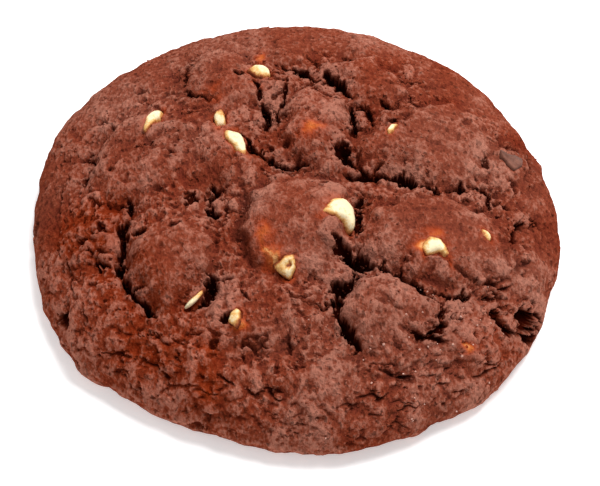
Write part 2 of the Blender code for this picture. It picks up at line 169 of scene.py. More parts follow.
# the crust's shape and colours, all in mm and degrees, x to the right and y to the back
crust = {
    "radius": 44.0,
    "domeHeight": 14.4,
    "rimHeight": 3.2,  # where the side is widest
    "undercut": 2.8,  # how far the side draws in below that
    "domeSpread": 2.5,
    "domeShoulder": 0.6,
    "coreInset": 12.0,  # relief rises straight away from a flat core this far inside the rim
    "coreHeight": 5.0,
    "middle": (0.38, -0.25),  # middle of the outline's box
    "cuts": 170,  # fineness of the first mesh, thinned afterwards where it is smooth
    "quickCuts": 60,
    "triangles": 194000,
    "profileSteps": 400,
    "bottomShare": 0.07,  # how many of the faces the underside gets, against its area
    "bottomPores": 0.7,  # depth of the underside's pores, against those above
    "lowestSide": 0.02,  # height that no part of the side goes below
    # how many lobes, depth, where one peaks in degrees
    "lobes": [
        (1, 0.2, -57), (2, 0.8, 132), (3, 0.25, 75), (4, 0.3, 40), (5, 0.3, 0), (6, 0.2, 34), (7, 0.2, 6),
    ],
    # x, y, half length, half width, turn, height, flatness, how smooth its skin is
    "lumps": [
        (0.4, -7.5, 11.2, 9.2, 80, 3.4, 3.6, 0.9),
        (-20.5, -14, 9, 7.6, 60, 2.3, 3.4, 0.8),
        (4.5, 12.5, 10.5, 6.5, 100, 2.3, 3.4, 0.55),
        (-12.5, 25, 8.5, 7.5, 100, 1.6, 3.4, 0.8),
        (22, 11, 12.5, 10, 30, 2.1, 4.4, 0.9),
        (22.5, -9.5, 14, 9, -5, 2.1, 4.4, 0.9),
        (14.5, -24.5, 8.6, 8, 20, 2.7, 3.2, 0.6),
        (-25.5, 8.5, 11, 9, 70, 1.8, 3.4, 0.6),
        (12, 25, 8, 6, -15, 1.5, 4, 0.75),
        (-11.5, 7.5, 9.5, 7, 110, 1.2, 3, 0.55),
        (-5.5, -25, 9.5, 7, 15, 1.4, 3, 0.35),
        (-31.5, -22.5, 9, 6, -60, 1.4, 3, 0.15),
        (-33.5, -6, 9.5, 5.5, 95, 0.9, 3, 0.1),
        (27.5, -25.5, 9.5, 6.5, 25, 1.4, 3, 0.2),
        (36, 9, 7, 5, 60, 1.1, 3, 0.5),
        (37.5, -12, 7.5, 4.5, 75, 1.1, 3, 0.4),
        (-13, -34.5, 9.5, 5, -30, 0.9, 3, 0.1),
        (8, -35, 10, 5, 10, 0.9, 3, 0.3),
        (0.5, 37, 25, 7, 0, 0.3, 3, 0.8),
        (-29, 27, 14, 6.5, 45, 0.3, 3, 0.7),
        (30, 27, 15, 6.5, -45, 0.3, 3, 0.75),
        (-41, 2, 14, 3.5, 92, 0.2, 3, 0.8),
        (41, -2, 14, 3.5, 88, 0.2, 3, 0.7),
    ],
    "lumpShoulder": 1.25,
    "lumpBlend": 4,  # how strictly the higher of two lumps wins
    # width, depth, route
    "cracks": [
        (1.5, 3,
         [(-26.8, -1.3), (-26.9, -4.2), (-28.1, -6.9), (-28, -10.6), (-28.3, -13.8), (-26.6, -17.7),
          (-25.4, -20.2)]),
        (1.3, 2.6, [(-25.8, -19.6), (-23.7, -21.5), (-23.6, -23.9)]),
        (1.8, 2.8, [(-13.4, -16.8), (-13.7, -18.6), (-13.8, -20), (-14.6, -21.2), (-16, -22.6)]),
        (2.4, 0.5,
         [(-8.2, -0.4), (-8.3, -3.1), (-8.4, -6.8), (-8.6, -10.8), (-7.5, -13.2), (-6.3, -15.4)]),
        (1.3, 2.4, [(-14.2, 3.1), (-13.4, 0), (-13.5, -2.6), (-12.6, -5.3), (-11.2, -5.5)]),
        (1.1, 2, [(-32.1, 13.9), (-33.7, 10.2), (-34.3, 6), (-34.9, 3.9)]),
        (1.2, 1.5, [(-6.3, 24), (-5.5, 19.6)]),
        (1.5, 2.6, [(-5.1, 19), (-4.6, 15.3), (-4.4, 13)]),
        (0.9, 1.7, [(-1, 25), (-1.8, 20.1), (-2.9, 16.2), (-3.1, 13.8)]),
        (1.3, 2.5,
         [(-8.3, 11.4), (-7.1, 9), (-5.3, 7.3), (-2.8, 5.7), (-0.7, 4.8), (1.4, 5.3), (2.3, 4.7)]),
        (1.5, 2.6, [(-3.2, 30), (-1.2, 28.2), (0.8, 28.1), (2.8, 25.8), (4.2, 24.6)]),
        (1.9, 3, [(5.4, 26.9), (6.8, 24.1), (8.3, 21.7), (9.5, 20.2)]),
        (0.9, 1.8, [(8.6, 32), (8.2, 29)]),
        (1.2, 2.6, [(9.6, 18.8), (9.9, 15), (10.1, 11.8)]),
        (1, 2, [(12.1, 18.6), (12.7, 15), (12.7, 13.4)]),
        (1.1, 1.8, [(13.9, 19.5), (15.8, 19.3), (17.8, 18.4)]),
        (2.6, 3.4, [(8.6, 9), (8.2, 7.3), (8.6, 5.8)]),
        (1.2, 1.8, [(9, 6.2), (10.8, 5.4), (11.9, 3.2)]),
        (1.5, 2.6, [(8.3, 3.6), (11.9, 2.9), (15.7, 2.5)]),
        (2.2, 3.2, [(16.4, 2.5), (18.8, 2.1), (20.8, 1.5)]),
        (0.8, 1.6, [(20.6, 1.6), (22.4, 0.8)]),
        (0.9, 1.8,
         [(24.2, 0.6), (27.3, 1.8), (28.8, 2.5), (31.1, 2.6), (31.9, 1.2), (31.7, -0.3), (32.5, -1.6)]),
        (1.1, 2.2, [(10.8, -1), (10.2, -6), (10.8, -9.8)]),
        (3, 3.4, [(6.9, -11.4), (9.2, -13.8), (11.8, -16.3)]),
        (1.6, 2.6, [(13.4, -15.6), (16, -17.2), (19, -18.6), (21.6, -21)]),
        (2.6, 3.2, [(9.6, -17.8), (7, -20), (7.4, -22.5), (6.8, -25)]),
        (1.5, 2.4, [(6.8, -24.5), (8.4, -28), (10.6, -30.6)]),
        (0.9, 1.4, [(21.5, -19.8), (27.2, -19.9), (32.4, -19.2)]),
        (1.2, 1.6, [(23.3, -22), (23.6, -25.4), (20.6, -28.4)]),
        (1.4, 2.2,
         [(32, -20.4), (32.4, -22), (32.9, -22.9), (33.8, -23.8), (35.2, -23.9), (37, -23.6),
          (38, -23.3)]),
        (1.1, 1.3, [(37, -4.2), (36.3, -6.2), (34.8, -8.8)]),
        (0.9, 1.2, [(-18, 31), (-18.3, 27), (-18.2, 23.2)]),
        (1, 1.5, [(-18.2, 22.6), (-16.8, 20.9), (-14.6, 20.1)]),
        (0.7, 1, [(-0.9, -27.6), (-0.6, -30.8), (1, -33.2)]),
        (0.8, 1, [(15.6, 28.8), (17.3, 25.9), (22, 26.4)]),
        (0.8, 1.1, [(19, 23.4), (19.6, 20), (22.6, 19.6)]),
        (0.9, 1.4, [(-33.7, -12.5), (-31, -13.2), (-29.2, -13)]),
        (0.7, 0.8, [(-12.4, -31.4), (-11.9, -34.4), (-9, -36)]),
        (0.6, 0.8, [(-8, -36.8), (-5.4, -37.8)]),
        (0.8, 1, [(2.1, 31.9), (3.6, 30.1), (3.9, 27.6)]),
        (0.8, 1, [(22.9, -0.6), (22.7, -2.4)]),
        (1.2, 1.3, [(19, -27), (21.1, -28), (24.9, -28)]),
        (0.9, 1, [(23.9, -31.1), (24.6, -32.7)]),
        (0.8, 1.3, [(38.4, -1.2), (39.4, -2.1), (40.2, -1.8), (41.4, -2.5)]),
        (0.9, 1, [(31.8, 9.1), (32.1, 6.3)]),
        (0.8, 0.8, [(33.3, 15.4), (35.5, 13.8)]),
        (1.1, 1.8, [(38.9, 13.2), (38.9, 11.3), (39.2, 9.2), (38.9, 6.4)]),
        (0.8, 1.2, [(34.2, 12), (36.2, 13), (38.2, 13.2)]),
        (0.9, 1.5, [(15.3, 13.9), (16.6, 14.5), (17.9, 14.1)]),
        (1, 1.3, [(-26.5, 9.7), (-25, 9.3), (-23.3, 9.9)]),
        (0.8, 1.2, [(-20.1, 11.2), (-19.6, 8.2)]),
        (0.8, 1.1, [(-31, 5.6), (-29, 5.3)]),
        (0.6, 0.9, [(-39.6, 11.6), (-37.3, 11.2)]),
        (0.7, 0.8, [(-18.2, 33.5), (-18, 30.4)]),
        (0.9, 1, [(-7.9, -29.3), (-7.6, -33)]),
        (0.8, 0.9, [(-18.5, -30.2), (-18.5, -31.8)]),
        (0.8, 0.9, [(-33.2, -21.4), (-33, -23)]),
        (0.9, 0.9, [(-8.5, -20.5), (-6.9, -22.7)]),
        (0.8, 0.8, [(-13.5, -38.3), (-13.8, -39.9)]),
        (0.9, 0.9, [(-38.6, 4), (-39.4, 0.5), (-38.2, -4)]),
        (0.8, 0.9, [(-36.5, -9), (-37.2, -13.5), (-34.8, -17)]),
        (0.8, 0.8, [(-24.5, -30.5), (-21.5, -32.4), (-19.8, -35)]),
        (0.8, 0.8, [(28.6, -33), (31.4, -30.6), (33.8, -28.8)]),
        (0.8, 0.8, [(13, -33), (16.2, -34.6), (19.4, -34.2)]),
        (0.8, 0.9, [(25.6, -15.6), (29, -16.8), (33.2, -15.2)]),
    ],
    "cracksThatSpread": 1.1,  # the crust beside cracks deeper than this is torn
    "tornReach": 2.4,
    "tornShare": 0.8,
    "valleySpread": 2.2,  # the crust sags towards a crack
    "valleyDepth": 0.52,
    "raggedness": 0.55,  # how unevenly wide the cracks are
    "raggedSwells": [(2.2, 1.1, 7), (0.8, 1.2, 19)],  # size, share, seed
    # short tears that leave the deeper cracks; their depth is a share of the crack's
    "tears": {
        "least": 1.5, "spacing": 2.8, "length": (1.2, 3.4), "width": (0.4, 0.8), "depth": (0.3, 0.65),
        "angle": (40, 105), "bend": 0.4, "seed": 4,
    },
    # x, y, radius, depth
    "pits": [
        (23, 0.3, 1.05, 2.6),
        (27.4, 1.7, 0.9, 1.8),
        (37.3, -3.6, 1.15, 3),
        (35.9, -0.9, 0.6, 1.5),
        (37.2, -8.6, 0.5, 1.3),
        (39.9, -3.2, 0.5, 1.3),
        (38.1, -21.3, 2.5, 3.6),
        (38.4, -23.4, 1.4, 2.4),
        (32.5, -21.7, 1.1, 2.4),
        (32.5, -18.7, 0.6, 1.4),
        (43, 6, 0.6, 0.8),
        (-9.1, 25.6, 0.9, 2),
        (-17, -1.4, 1.4, 1.5),
        (-24.8, -8.1, 1, 1.8),
        (-37.3, -20.9, 1.2, 2.2),
        (-11, -25.6, 1.15, 2),
        (36.1, 3.7, 0.9, 1.2),
        (34.6, 14.6, 1.1, 1.2),
        (10.2, -15.5, 1.4, 2.2),
        (10.6, -8.8, 0.8, 1.4),
        (28.3, 16, 0.7, 0.9),
        (-34.6, -8.5, 0.9, 1.5),
        (-31.6, -5.6, 0.8, 1.3),
        (-19.4, -8, 0.9, 1.4),
        (-26, 24.4, 0.9, 0.9),
        (-12.6, -29.3, 0.9, 1.3),
        (-6.9, -30, 0.7, 1),
        (0.9, -33, 0.8, 1),
        (-5.4, -37.7, 0.8, 0.9),
        (-28.2, -29.3, 0.8, 1),
        (-28.5, -31.1, 0.7, 0.9),
        (-42.9, -1.8, 1.3, 1),
        (-35, -27.4, 1.3, 1),
        (-15.4, -40.3, 1.3, 1),
        (9.9, -39.9, 1.6, 0.5),
    ],
    # size, height, seed
    "swells": [(9, 0.55, 3), (4, 0.4, 17), (2.2, 0.22, 31)],
    "swellsCalmed": 0.35,  # share of the swells that smooth lumps lose
    # rounded crumbs with sharp creases between them: size, height, share of it on smooth skin, seed
    "crumbs": [(4.4, 0.5, 0.35, 5), (2.1, 0.3, 0.35, 23)],
    "crumbMiddle": 0.7,  # share of a crumb's height that lies below the plain dough
    "patches": (5.0, 37.0, 0.7, 0.9),  # size and seed of coarser areas, least and further share there
    # open pores: spacing, largest radius, depth, share of the places that hold one, seed
    "pores": [(3.2, 0.75, 1.1, 0.42, 11), (1.3, 0.4, 0.55, 0.5, 29)],
    "poresOnSkin": 0.1,
    "rimCalm": (2.0, 7.5, 0.3),  # below the second height the side gets smoother, down to that share
    # short fissures: size of their loops, width, depth, seed
    "fissures": [(5, 0.5, 0.9, 71), (2.6, 0.36, 0.55, 83)],
    "fissuresOnSkin": 0.25,
    # thin dough that has crept over a nut: x, y, radius, height
    "films": [(6.5, -10.7, 2.35, 1.15), (23.2, -15.5, 1.8, 0.65)],
    # grainy skin: size, height, share of it that even smooth skin has, seed
    "skin": [(1.5, 0.18, 0.4, 47), (0.85, 0.24, 0.45, 53), (0.55, 0.14, 0.8, 59)],
    "socketDepth": 0.8,  # how far the dough dips under a nut
    "socketEdge": 0.75,
    # how outlines wander, one wander on top of the other: size, reach
    "lumpWander": [(3, 1.6), (7, 1.5)],
    "crackWander": [(3, 0.8), (0.9, 0.35)],
    "stainWander": [(1.8, 1)],
    # oil from the nuts has turned the skin over them orange brown:
    # x, y, half length, half width, turn, strength
    "stains": [
        (-5, -11.5, 2.8, 1.5, -70, 0.72), (-3.7, -14.6, 2.5, 1.6, -55, 0.9),
        (-3.5, -14.3, 1.7, 0.6, -54, 1.25), (-2.6, -15.7, 1.2, 0.8, -35, 1.15),
        (6.2, -4.2, 2.4, 1.4, 60, 0.4), (5, -8.2, 1.4, 1, 0, 0.5),
        (20.7, -12.6, 1.9, 1.4, 20, 1.15), (27, -28.3, 1.2, 1.1, 0, 0.95),
        (-13, 19.4, 1.7, 1.2, 0, 0.5), (3, 11, 2.6, 1.6, 20, 0.85),
        (-5.8, 30.2, 1.1, 2.6, 0, 0.8), (-12.2, 12, 1.4, 1.4, 0, 0.6),
        (31.2, -8.9, 1.4, 1.2, 0, 0.45), (-8.4, -26.7, 1.5, 1.1, 0, 0.95),
        (-11.2, 11.4, 1.4, 1, 0, 0.45), (-6.4, 23, 1.6, 1.2, 0, 0.5),
        (-13.5, -36.5, 2.4, 1, -30, 0.45), (-31, -8.5, 1.8, 3, 0, 0.3),
        (-13.8, -29.6, 2.2, 1.2, -20, 0.45), (-24.2, 14.8, 1, 2.6, -20, 0.4),
        (-12.2, 15.6, 0.9, 1.6, 0, 0.6), (22.8, -10.2, 2.2, 1, -20, 0.7),
        (-13.5, 22, 2.6, 1.6, 20, 0.5),
    ],
    # where the crust is greyer and paler, or redder below 0: x, y, radius, strength; the grey over the crown
    # and in front of it is partly painted light
    "greyAreas": [
        (24, 10, 15, 0.25), (20, -32, 10, 0.35), (2, -6, 12, 0.25), (-34, -8, 13, -0.4),
        (-20, -32, 12, -0.3), (30, -10, 12, 0.2), (37, 10, 5, 0.3), (38, -14, 4, 0.4), (-3, -29, 4, 0.3),
        (10, -22, 8, 0.2), (-10, 38, 14, 0.2), (-42, 0, 6, 0.3), (-22, 16, 16, 0.15), (-28, 20, 14, 0.2),
        (-26, -24, 8, 0.05), (-9, -38, 7, 0.05),
    ],
    # painted light where the crust is paler, and painted shade where it is darker below 0
    "paintedLightAndShade": [
        (20, -32, 10, 0.04), (10, -22, 8, 0.05), (-43, 3, 8, -0.14), (43, 0, 8, -0.12), (-19, -3, 5, -0.12),
        (-21, 4, 6, 0.05), (27, -23, 7, 0.08), (38, -22, 4, -0.1), (22, 26, 8, -0.06), (5, -2, 8, 0.05),
        (3, 16, 6, 0.05), (-8.2, -0.4, 2, -0.1), (-8.1, -3.4, 2, -0.1), (-8.7, -6.9, 2, -0.1),
        (-8.7, -10.5, 2, -0.1), (-7, -14.2, 2, -0.15), (-18.3, -12.3, 6, -0.14), (-1, -7, 8, 0.16),
        (-12, -9, 4, 0.04), (-12, 26, 7, -0.06), (-26, -24, 8, 0.1), (-38, -13, 6, -0.12),
        (-11, -3, 4, -0.08), (-20, 1, 5, -0.06), (-9, -38, 7, 0.05), (31, -30, 6, 0.06), (5, 8, 7, 0.08),
        (19, -24, 8, -0.06), (30, -26, 7, 0.07), (1, -28, 7, -0.07), (8, -40, 8, -0.08),
        (20, -12, 6, -0.04),
    ],
    "seep": (0.45, 0.7),  # oil in the dough next to a nut: strength, reach
    # painted light and shade: a point is paler the further it stands out, darker the deeper it lies in a
    # hollow
    "crestLevel": 0.49,  # shade of level skin, of 0 to 1
    "fineStep": 0.72,  # relief from the darkest to the palest shade
    "fineStepOnLumps": 0.55,  # so much more of it on smooth lumps
    "broadStep": 0.9,
    "crestTurns": (10, 44),  # rounds of smoothing that flatten forms of about 1 mm and of about 3 mm
    # near black painted shade of cracks, pits and pores; torn crust takes a little of it as its own darker
    # crumb
    "deep": "#2b0702",
    # hollow with its painted shade, level crust, and crest with its painted light and pinkish painted sheen
    "shades": [(0.1, "#4e1409"), (0.5, "#7c361f"), (0.95, "#b87a66")],
    # warm and greyish areas
    "tints": [(0.05, "#862c0e"), (0.95, "#804d40")],
    "tintShare": 0.42,
    # oil, faint to strong
    "stainShades": [(0.15, "#8c3214"), (0.5, "#b04219"), (0.8, "#cf6a30"), (1.0, "#e6a468")],
    "stainCover": 0.9,
    "drawnOut": 0.72,  # the grain runs a little longer from front to back
    # grain in the colours: size in mm, detail, roughness
    "grain": {
        "grit": (0.55, 2.0, 0.6),
        "mottle": (2.0, 3.0, 0.65),
        "blotch": (9.0, 1.0, 0.6),
        "speck": (0.42, 2.0, 0.7),
        "pinhole": (0.85, 1.0, 0.6),
    },
    "grainShares": {"grit": 1.5, "mottle": 0.26, "blotch": 1.0},
    "grainOnSkin": 0.75,
    "roughness": 0.8,
    "gloss": 0.0,
    "gritHeight": 0.42,
    "pinholeDepth": 0.3,
    "pinholeSharpness": 0.6,
    # from which to which strength of the grain, and how bright it leaves the skin there; pinholes are painted
    # shade, pale specks partly grain and partly painted glints
    "specks": {"From_Min": 0.34, "From_Max": 0.66, "To_Min": 0.78, "To_Max": 1.2},
    "pinholes": {"From_Min": 0.6, "From_Max": 0.7, "To_Min": 1.0, "To_Max": 0.5},
    "oilPatches": {"From_Min": 0.35, "From_Max": 0.6, "To_Min": 0.85, "To_Max": 1.05},
}


# the outline: a circle with a few shallow lobes
def rimRadius(angle):
    radius = np.full_like(angle, crust["radius"])
    for lobes, depth, peak in crust["lobes"]:
        radius = radius + depth * np.cos(lobes * (angle - np.radians(peak)))
    return radius


def domeHeight(x, y):
    share = np.hypot(x, y) / rimRadius(np.arctan2(y, x))
    rise = np.maximum(1.0 - share ** crust["domeSpread"], 0.0) ** crust["domeShoulder"]
    return crust["rimHeight"] + (crust["domeHeight"] - crust["rimHeight"]) * rise


# half section from the top's middle round the rim to the underside's middle
def sideProfile():
    steps = crust["profileSteps"]
    turn = np.linspace(0.0, np.pi / 2, steps)
    topRadius = np.sin(turn) ** (2 / crust["domeSpread"])
    topRise = np.cos(turn) ** (2 * crust["domeShoulder"])
    topHeight = crust["rimHeight"] + (crust["domeHeight"] - crust["rimHeight"]) * topRise
    curl = 1.0 - crust["undercut"] / crust["radius"] * (1.0 - np.cos(turn))
    curlHeight = crust["rimHeight"] * (1.0 - np.sin(turn))
    share = np.concatenate([topRadius, curl[1:], np.linspace(curl[-1], 0.0, steps)[1:]])
    height = np.concatenate([topHeight, curlHeight[1:], np.zeros(steps - 1)])
    step = np.hypot(np.diff(share) * crust["radius"], np.diff(height))
    area = step * (share[1:] + share[:-1])
    area[-(steps - 1):] *= crust["bottomShare"]
    above = np.concatenate([[0.0], np.cumsum(area)])
    return share, height, above / above[-1]


# takes a ball's points to the plain cookie, spread evenly by area along its section
def onPlainDome(directions):
    share, height, above = sideProfile()
    placed = (1.0 - directions[:, 2]) / 2
    angle = np.arctan2(directions[:, 1], directions[:, 0])
    radius = np.interp(placed, above, share) * rimRadius(angle)
    heights = np.interp(placed, above, height)
    return np.stack([radius * np.cos(angle), radius * np.sin(angle), heights], axis=1)


# smooth noise of one size
def swell(points, size, seed):
    offset = Vector((seed, seed, seed))
    return np.array([noise.noise(Vector(point) / size + offset) for point in points])


# moves points about, so that what is looked up at them gets an uneven edge
def strayed(points, wanders):
    for size, reach in wanders:
        points = points + reach * np.array([noise.noise_vector(Vector(point) / size) for point in points])
    return points


# place of each point in a turned oval, along and across it, from 0 in its middle to 1 at its outline
def inOval(points, x, y, halfLength, halfWidth, turn):
    along = np.radians(turn)
    dx, dy = points[:, 0] - x, points[:, 1] - y
    u = (dx * np.cos(along) + dy * np.sin(along)) / halfLength
    v = (dy * np.cos(along) - dx * np.sin(along)) / halfWidth
    return u, v


# a share of 0 to 1 pressed into the span from the least to 1
def atLeast(least, share):
    return least + (1 - least) * share


# gives the lumps' lift, and how smooth the skin is there
def lumpRelief(points):
    skinEdge = 0.7  # share of a lump's rise by which its skin is fully smooth
    total = np.zeros(len(points))
    smooth = np.zeros(len(points))
    for x, y, halfLength, halfWidth, turn, height, flatness, skin in crust["lumps"]:
        u, v = inOval(points, x, y, halfLength, halfWidth, turn)
        share = np.maximum(1.0 - np.hypot(u, v) ** flatness, 0.0)
        total += (height * share ** crust["lumpShoulder"]) ** crust["lumpBlend"]
        smooth = np.maximum(smooth, skin * smoothStep(0.0, skinEdge, share))
    return total ** (1 / crust["lumpBlend"]), smooth


# rounded crumbs of one size, 1 on their tops and 0 in the creases between them
def crumbRelief(points, size, seed):
    kink, kinkScale = 0.3, 1.7
    steepness = 2.4
    offset = Vector((seed, seed, seed))
    relief = np.empty(len(points))
    for i, point in enumerate(points):
        spot = Vector(point) / size + offset
        spot += kink * noise.noise_vector(spot * kinkScale)
        relief[i] = abs(noise.noise(spot))
    relief = np.minimum(relief * steepness, 1.0)
    return relief * (2.0 - relief)


# open pores of all sizes, gives their depth at each point
def poreRelief(points, spacing, radius, depth, share, seed):
    kink, kinkScale = 0.16, 2.6
    chanceScale = 7.1
    least, further = 0.35, 0.65  # size of the smallest pore, and how much more the largest has
    offset = Vector((seed, seed, seed))
    relief = np.zeros(len(points))
    for i, point in enumerate(points):
        spot = Vector(point) / spacing + offset
        spot += kink * noise.noise_vector(spot * kinkScale)
        near, cells = noise.voronoi(spot)
        chance = 0.5 + 0.5 * noise.noise(cells[0] * chanceScale)
        if chance < share:
            reach = near[0] * spacing / (radius * (least + chance / share * further))
            if reach < 1.0:
                relief[i] = depth * (least + further * chance / share) * (1.0 - reach * reach) ** 0.5
    return relief


# short broken fissures, longer across than to the back, along the zero lines of a noise
def fissureRelief(points, size, width, depth, seed):
    squeeze = 0.6  # makes them longer across
    breakScale, breakLevel, breakSlope = 1.6, 0.12, 5.0  # where they start and stop
    kink, kinkScale = 0.3, 3.7
    noiseSlope = 1.3  # of the noise at its zero lines
    offset = Vector((seed, seed, seed))
    relief = np.zeros(len(points))
    for i, point in enumerate(points):
        spot = Vector((point[0] * squeeze, point[1], point[2])) / size + offset
        broken = noise.noise(spot * breakScale + offset) - breakLevel
        if broken > 0:
            spot += kink * noise.noise_vector(spot * kinkScale)
            across = abs(noise.noise(spot)) * size / noiseSlope / (width / 2)
            if across < 1.0:
                relief[i] = depth * min(broken * breakSlope, 1.0) * (1.0 - across * across)
    return relief


# short tears that branch off the deeper cracks
def sideTears():
    values = crust["tears"]
    bend = values["bend"]
    dice = random.Random(values["seed"])
    tears = []
    for _, depth, route in crust["cracks"]:
        if depth <= values["least"]:
            continue
        for start, end in zip(route, route[1:]):
            way = Vector(end) - Vector(start)
            for _ in range(round(way.length / values["spacing"])):
                root = Vector(start) + way * dice.random()
                heading = way.normalized()
                angle = dice.choice((-1, 1)) * dice.uniform(*values["angle"])
                heading.rotate(Matrix.Rotation(np.radians(angle), 2))
                length = dice.uniform(*values["length"])
                aside = heading.orthogonal() * dice.uniform(-bend, bend)
                stops = [root, root + heading * length * 0.5 + aside, root + heading * length]
                tears.append((dice.uniform(*values["width"]), depth * dice.uniform(*values["depth"]), stops))
    return tears


# gives how deep each point is cut, how dark its painted shade is there, how far it sags beside cracks,
# and how near it is to one
def crackRelief(points):
    floorShape, pitShape = 0.7, 0.5  # lower is a flatter floor with steeper walls
    crackDark, pitDark = (0.05, 0.55), (0.1, 0.7)  # mm of depth at which a cut's painted shade starts and is full
    darkCrack, darkPit = 1.5, 1.6  # mm, shallower cuts get less painted shade
    endTaper, middleTaper = 0.2, 3.2
    cut = np.zeros(len(points))
    dark = np.zeros(len(points))
    sunk = np.zeros(len(points))
    torn = np.zeros(len(points))
    wobble = sum(share * swell(points, size, seed) for size, share, seed in crust["raggedSwells"])
    wobble = 1.0 + crust["raggedness"] * wobble
    for width, depth, route in crust["cracks"] + sideTears():
        flat = np.array(route, float)
        nodes = np.column_stack([flat, domeHeight(flat[:, 0], flat[:, 1])])
        lengths = np.linalg.norm(np.diff(nodes, axis=0), axis=1)
        starts = np.concatenate([[0.0], np.cumsum(lengths)])
        nearest = np.full(len(points), np.inf)
        along = np.zeros(len(points))
        for i, length in enumerate(lengths):
            way = (nodes[i + 1] - nodes[i]) / length
            reach = np.clip((points - nodes[i]) @ way, 0.0, length)
            gap = np.linalg.norm(points - nodes[i] - reach[:, None] * way, axis=1)
            along = np.where(gap < nearest, starts[i] + reach, along)
            nearest = np.minimum(gap, nearest)
        share = along / starts[-1]
        taper = (endTaper + middleTaper * share * (1.0 - share)) ** 0.5
        across = nearest / (width / 2 * taper * wobble)
        own = depth * taper * np.maximum(1.0 - across ** 2, 0.0) ** floorShape
        cut = np.maximum(cut, own)
        dark = np.maximum(dark, smoothStep(*crackDark, own) * min(depth / darkCrack, 1.0))
        sag = crust["valleyDepth"] * depth * taper * np.exp(-((nearest / crust["valleySpread"]) ** 2))
        sunk = np.maximum(sunk, sag)
        if depth > crust["cracksThatSpread"]:
            torn = np.maximum(torn, np.exp(-((nearest / crust["tornReach"]) ** 2)))
    for x, y, radius, depth in crust["pits"]:
        middle = np.array([x, y, float(domeHeight(np.array(x), np.array(y)))])
        across = np.linalg.norm(points - middle, axis=1) / (radius * wobble)
        own = depth * np.maximum(1.0 - across ** 2, 0.0) ** pitShape
        cut = np.maximum(cut, own)
        dark = np.maximum(dark, smoothStep(*pitDark, own) * min(depth / darkPit, 1.0) ** 2)
    return cut, dark, sunk, torn


# the way out from the flat core inside the cookie
def awayFromCore(points):
    leastReach = 1e-6  # no division by nought in the middle
    reach = np.hypot(points[:, 0], points[:, 1])
    core = np.minimum(1.0, (crust["radius"] - crust["coreInset"]) / np.maximum(reach, leastReach))
    away = np.column_stack([points[:, :2] * (1.0 - core)[:, None], points[:, 2] - crust["coreHeight"]])
    return away / np.linalg.norm(away, axis=1)[:, None]


def smoothStep(low, high, values):
    t = np.clip((values - low) / (high - low), 0.0, 1.0)
    return t * t * (3 - 2 * t)


# cashew pieces lodged in the crust, roasted: dense creamy nut meat, smooth and slightly waxy,
# golden to brown where the heat reached it
cashews = {
    # how far each stands out, its thickness, the side that is browned in degrees and how much, its outline
    "pieces": [
        (1.2, 4, 240, 0.25,
         [(4.8, -7.4), (6.1, -3.9), (8.2, -2.2), (9.8, -3.4), (10, -7.6), (9.8, -9.6), (9, -9.2),
          (8.1, -8.4), (5.8, -8.1)]),
        (1, 3.2, 200, 0.25,
         [(-11.6, 12), (-9, 12.3), (-8, 8.3), (-7.4, 5.2), (-9.1, 6.6), (-11.6, 9.6)]),
        (0.9, 2.6, 180, 0.45,
         [(-25.3, 11.2), (-24.3, 11.9), (-23, 14.4), (-22.2, 15.8), (-21.8, 17.4), (-22.4, 18),
          (-23.5, 17.2), (-24.7, 15.2)]),
        (0.5, 2.2, 90, 0.9,
         [(-13, 17), (-12.2, 17.4), (-11.6, 15.8), (-11.4, 13.7), (-13.1, 13.4), (-13.4, 15.4)]),
        (1.1, 3.2, 215, 0.6,
         [(-8.2, 26.2), (-6.8, 27.7), (-5.3, 28.2), (-4.3, 27), (-3.9, 25.2), (-5.4, 24.3),
          (-6.9, 24.9)]),
        (0.7, 2.8, 170, 0.8,
         [(-3.6, -16.3), (-2, -15.9), (-1.5, -15.2), (0.1, -15.4), (0.4, -17.2), (-0.6, -19),
          (-1.8, -18.3), (-3.2, -17.2)]),
        (0.5, 2.6, 250, 0.35,
         [(20.4, -13.4), (20.8, -11.7), (21.9, -10.7), (23.4, -11), (24.6, -12.2), (25.2, -13.6),
          (25.5, -15.9), (23.5, -14.8), (21.6, -14.6)]),
        (0.4, 2, 200, 0.1,
         [(30.4, -7.5), (31.3, -7.9), (32.1, -8.9), (31.8, -9.9), (30.9, -9.7), (30.5, -8.7)]),
        (0.6, 2.2, 0, 0.2,
         [(15.2, 10.8), (15.9, 12.2), (17.4, 13.3), (17.2, 12.5), (16.6, 11), (15.7, 9.8)]),
        (0.9, 2.4, 330, 0.6,
         [(-9.1, -24.1), (-8.3, -25), (-8.2, -27), (-9.1, -27.8), (-10.4, -26.4), (-9.9, -25)]),
        (1.1, 2.2, 60, 0.8,
         [(-14.1, -18.2), (-14.8, -20.2), (-15.7, -21.7), (-17.2, -23.3), (-17.4, -22.8),
          (-16.4, -21.2), (-15.4, -19.8)]),
    ],
    "pinholes": [(-0.7, -16.8, 0.55)],  # x, y, radius
    "pinholeDepth": 0.7,
    "lumpiness": 0.12,  # mm
    "topCut": 1.0,  # share of the half thickness that is left above the middle
    "lowest": 1.0,  # mm above the table, so that none shows below
    "seed": 3,
    # nut meat, gold, brown and dark
    "shades": [(0.18, "#f8e6bb"), (0.5, "#e6b268"), (0.8, "#a8582a"), (1.0, "#6e2f16")],
    "patches": (0.9, 4.0, 0.75),  # size in mm, detail, roughness
    "patchShare": 1.3,
    "roughness": 0.55,
    "gloss": 0.3,
    "bump": (0.5, 0.3),  # strength, mm
}
